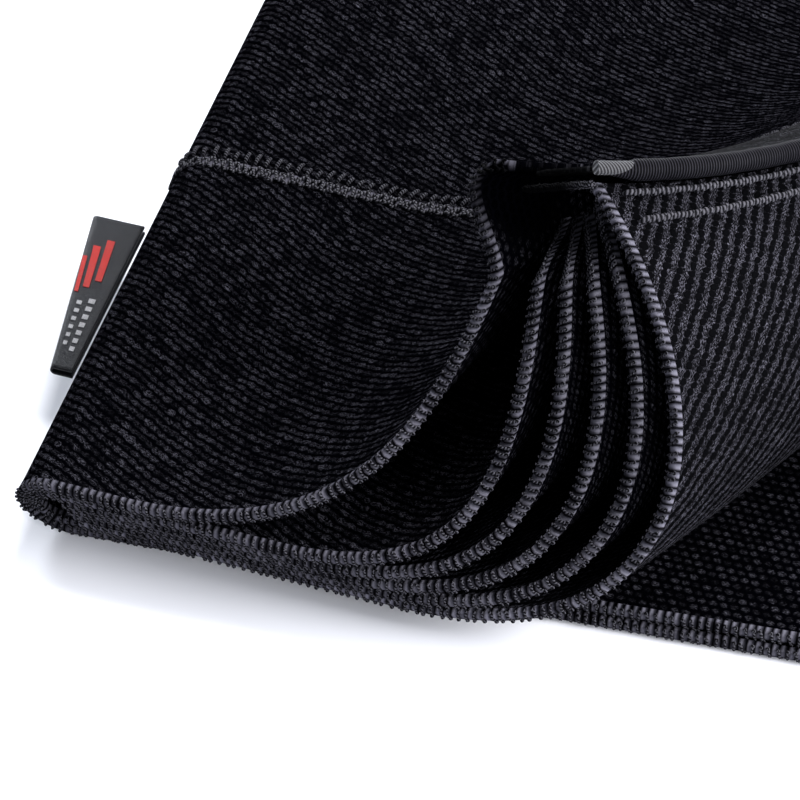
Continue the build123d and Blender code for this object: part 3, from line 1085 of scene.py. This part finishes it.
def barTack():
    skein = newSkein()
    ahead = Vector(tackSettings["ahead"])
    ends = [netPoint(upperNet(layer), 1, 0) + ahead for layer in (1, 6)]
    line = ends[1] - ends[0]
    side = line.cross(Vector((0, 0, 1))).normalized()
    over = side.cross(line).normalized()
    turns = int(line.length / tackSettings["pitch"])
    path = []
    for k in range(turns * 6):
        turn = 2 * math.pi * k / 6
        centre = ends[0] + line * (k / (turns * 6 - 1))
        wrap = tackSettings["wrap"] * random.uniform(*tackSettings["wrapSpread"])
        path.append(centre + side * (wrap * math.cos(turn)) + over * (wrap * math.sin(turn)))
    addThread(skein, path, [tackSettings["thread"]] * len(path), 5)
    core = [ends[0] + line * s for s in (0.0, 0.25, 0.5, 0.75, 1.0)]
    addThread(skein, core, [tackSettings["core"]] * 5, 6)
    return layThread("bar_tack", skein, edgingThread)


tapeZigzag()
tack = barTack()
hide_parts("vent_bar_tack")
print("vent finished")


labelSettings = {
    "near": 31.0, "far": 69.0,
    "reach": (4.0, 10.0),
    "gap": 1.2, "height": 8.0,
    "half": 0.9, "cloth": 0.45,
    "stations": 48,
    "satin": (0.003, 0.0035, 0.007),
    "red": (0.42, 0.018, 0.014),
    "white": (0.36, 0.36, 0.38),
    "bars": ((53.0, 63.5, 0.34, 0.50, 0.06), (51.0, 61.5, 0.58, 0.74, 0.06), (49.5, 58.5, 0.82, 0.92, 0.04)),
}


def labelFinish(name, color, shine):
    material, tree, shader = newFinish(name, 0.0, 0.14)
    cloth = tree.nodes.new("ShaderNodeUVMap")
    cloth.uv_map = "cloth"
    place = tree.nodes.new("ShaderNodeTexCoord").outputs["Object"]
    rows = placeGroup(tree, knitRows, Cloth=cloth.outputs[0], RowPitch=0.22, StitchPitch=0.5,
                      Lean=0.0, Turn=0.0, Wander=0.05, Soft=0.5)
    patchy = noiseOf(tree, place, 260.0, 3.0, 0.6)
    # painted shade between the woven rows, full colour on their tops
    deep = tuple(c * 0.35 for c in color)
    tone = mixColor(tree, rows.outputs["Height"], deep, color)
    tone = mixColor(tree, mathStep(tree, "MULTIPLY", patchy, 0.25), tone, tuple(c * 1.6 for c in color))
    tree.links.new(tone, shader.inputs["Base Color"])
    rough = mathStep(tree, "MULTIPLY_ADD", patchy, 0.25, shine)
    tree.links.new(rough, shader.inputs["Roughness"])
    bumpInto(tree, shader, rows.outputs["Height"], 0.00008)
    return material


def labelReach(y):
    # x of the stitched root, and how far the label stands out from it
    share = (y - labelSettings["near"]) / (labelSettings["far"] - labelSettings["near"])
    least, most = labelSettings["reach"]
    return sleeve["foldDrift"] * y - labelSettings["gap"], least + (most - least) * share


def labelLine(y):
    # outline of the folded label at y: in along the top, round the fold, back below
    root, reach = labelReach(y)
    half = labelSettings["half"] - labelSettings["cloth"] / 2
    bendX = root - reach + labelSettings["half"]
    height = labelSettings["height"]
    line = [Vector((root + (bendX - root) * s, y, height + half)) for s in np.linspace(0, 1, 12)]
    for turn in np.linspace(0, math.pi, 9)[1:-1]:
        line.append(Vector((bendX - half * math.sin(turn), y, height + half * math.cos(turn))))
    line += [Vector((bendX + (root - bendX) * s, y, height - half)) for s in np.linspace(0, 1, 12)]
    return line


def wovenLabel():
    rows = []
    for y in np.linspace(labelSettings["near"], labelSettings["far"], labelSettings["stations"]):
        rows.append([tuple(p) for p in labelLine(float(y))])
    middle = np.array(rows).transpose(1, 0, 2)
    normal = unitNormal(middle)
    half = labelSettings["cloth"] / 2
    ring = np.concatenate([middle + normal * half, (middle - normal * half)[:, ::-1]], axis=1)
    flat = ring.reshape(-1, 3)
    uv = np.stack([flat[:, 0] + flat[:, 2], flat[:, 1]], axis=1)
    piece = layShell("folded_label", ring, middle.shape[1], uv,
                     labelFinish("labelSatin", labelSettings["satin"], 0.28), "label")
    turnOutwards(piece)
    return piece


def labelPatch(name, spans, material):
    # raised woven blocks: each span is y from, y to, share across from, to, and skew
    points, faces = [], []
    top, foot = labelSettings["height"] + labelSettings["half"] + 0.09, 0.14
    border = [0, 1, 2, 3, 7, 11, 15, 19, 23, 27, 26, 25, 24, 20, 16, 12, 8, 4]
    for yFrom, yTo, aFrom, aTo, skew in spans:
        first = len(points)
        for drop in (0.0, foot):
            for y in np.linspace(yFrom, yTo, 7):
                root, reach = labelReach(y)
                for a in np.linspace(aFrom, aTo, 4):
                    lean = a + skew * (y - yFrom) / (yTo - yFrom)
                    points.append((root - reach * lean, y, top - drop))
        for i in range(6):
            for j in range(3):
                a = first + i * 4 + j
                quad = [a, a + 1, a + 5, a + 4]
                faces.append(quad)
                faces.append([v + 28 for v in quad][::-1])
        for p, q in zip(border, border[1:] + border[:1]):
            faces.append([first + p, first + p + 28, first + q + 28, first + q])
    corners = [points[v][:2] for quad in faces for v in quad]
    piece = layPiece(name, points, faces, corners, material, "label", smooth=False)
    turnOutwards(piece)


label = wovenLabel()
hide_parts("woven_label")
whiteSpans = [(47.4 - 2.0 * n, 48.5 - 2.0 * n, 0.28, 0.46, 0.0) for n in range(7)]
whiteSpans += [(46.6 - 2.0 * n, 47.5 - 2.0 * n, 0.62, 0.76, 0.0) for n in range(6)]
labelPatch("label_red_bars", labelSettings["bars"],
           labelFinish("labelRedWeave", labelSettings["red"], 0.4))
labelPatch("label_pale_ticks", whiteSpans, labelFinish("labelPaleWeave", labelSettings["white"], 0.45))
print("label folded")


studio = {
    "target": (-0.02658, -0.0454, 0.0142),
    "azimuth": 18.5, "elevation": 45.0, "distance": 0.450, "lens": 123.5,
    "floor": (0.755, 0.765, 0.82),
    "lights": (   # name, place, aim, size, watts, colour
        ("key_softbox", (0.72, 0.02, 0.42), (0.02, -0.01, 0.02), (0.45, 0.45), 15.0, (1.0, 1.0, 1.0)),
        ("top_softbox", (0.1, 0.55, 0.95), (0.0, -0.05, 0.0), (0.7, 0.5), 20.0, (1.0, 1.0, 1.0)),
        ("back_left_softbox", (-0.75, 0.75, 0.40), (-0.07, 0.0, 0.01), (0.4, 0.4), 12.0, (0.9, 0.95, 1.0)),
        ("right_fill", (0.8, -0.55, 0.40), (0.02, -0.02, 0.02), (0.4, 0.4), 8.0, (1.0, 1.0, 1.0)),
    ),
    "world": (0.90, 0.93, 1.0), "worldStrength": 0.42,
}


def studioFloor():
    bpy.ops.object.select_all(action="DESELECT")
    bpy.ops.mesh.primitive_plane_add(size=4.0, location=(0, 0, -0.0002))
    floor = bpy.context.active_object
    bpy.ops.object.transform_apply(location=True, rotation=True, scale=True)
    floor.name = "studio_floor"
    material = bpy.data.materials.new("paleFloor")
    material.use_nodes = True
    shader = material.node_tree.nodes["Principled BSDF"]
    shader.inputs["Base Color"].default_value = (*studio["floor"], 1.0)
    shader.inputs["Roughness"].default_value = 0.6
    floor.data.materials.append(material)
    floor.select_set(False)


def softbox(name, place, aim, size, power, color):
    light = bpy.data.lights.new(name, "AREA")
    light.shape = "RECTANGLE"
    light.size, light.size_y = size
    light.energy = power
    light.color = color
    box = bpy.data.objects.new(name, light)
    box.location = place
    box.rotation_mode = "QUATERNION"
    box.rotation_quaternion = (Vector(aim) - Vector(place)).to_track_quat("-Z", "Y")
    bpy.context.scene.collection.objects.link(box)


studioFloor()
for light in studio["lights"]:
    softbox(*light)
world = bpy.data.worlds.new("studioAir")
world.use_nodes = True
world.node_tree.nodes["Background"].inputs[0].default_value = (*studio["world"], 1.0)
world.node_tree.nodes["Background"].inputs[1].default_value = studio["worldStrength"]
bpy.context.scene.world = world
bpy.context.scene.view_settings.view_transform = "Standard"

side, lift = math.radians(studio["azimuth"]), math.radians(studio["elevation"])
back = Vector((math.sin(side) * math.cos(lift), -math.cos(side) * math.cos(lift), math.sin(lift)))
cameraData = bpy.data.cameras.new("studio_camera")
cameraData.lens = studio["lens"]
cameraData.sensor_width = 36.0
cameraData.clip_start = 0.01
cameraData.dof.use_dof = False
camera = bpy.data.objects.new("studio_camera", cameraData)
camera.location = Vector(studio["target"]) + back * studio["distance"]
camera.rotation_mode = "QUATERNION"
camera.rotation_quaternion = back.to_track_quat("Z", "Y")
bpy.context.scene.collection.objects.link(camera)
bpy.context.scene.camera = camera
print("studio set")
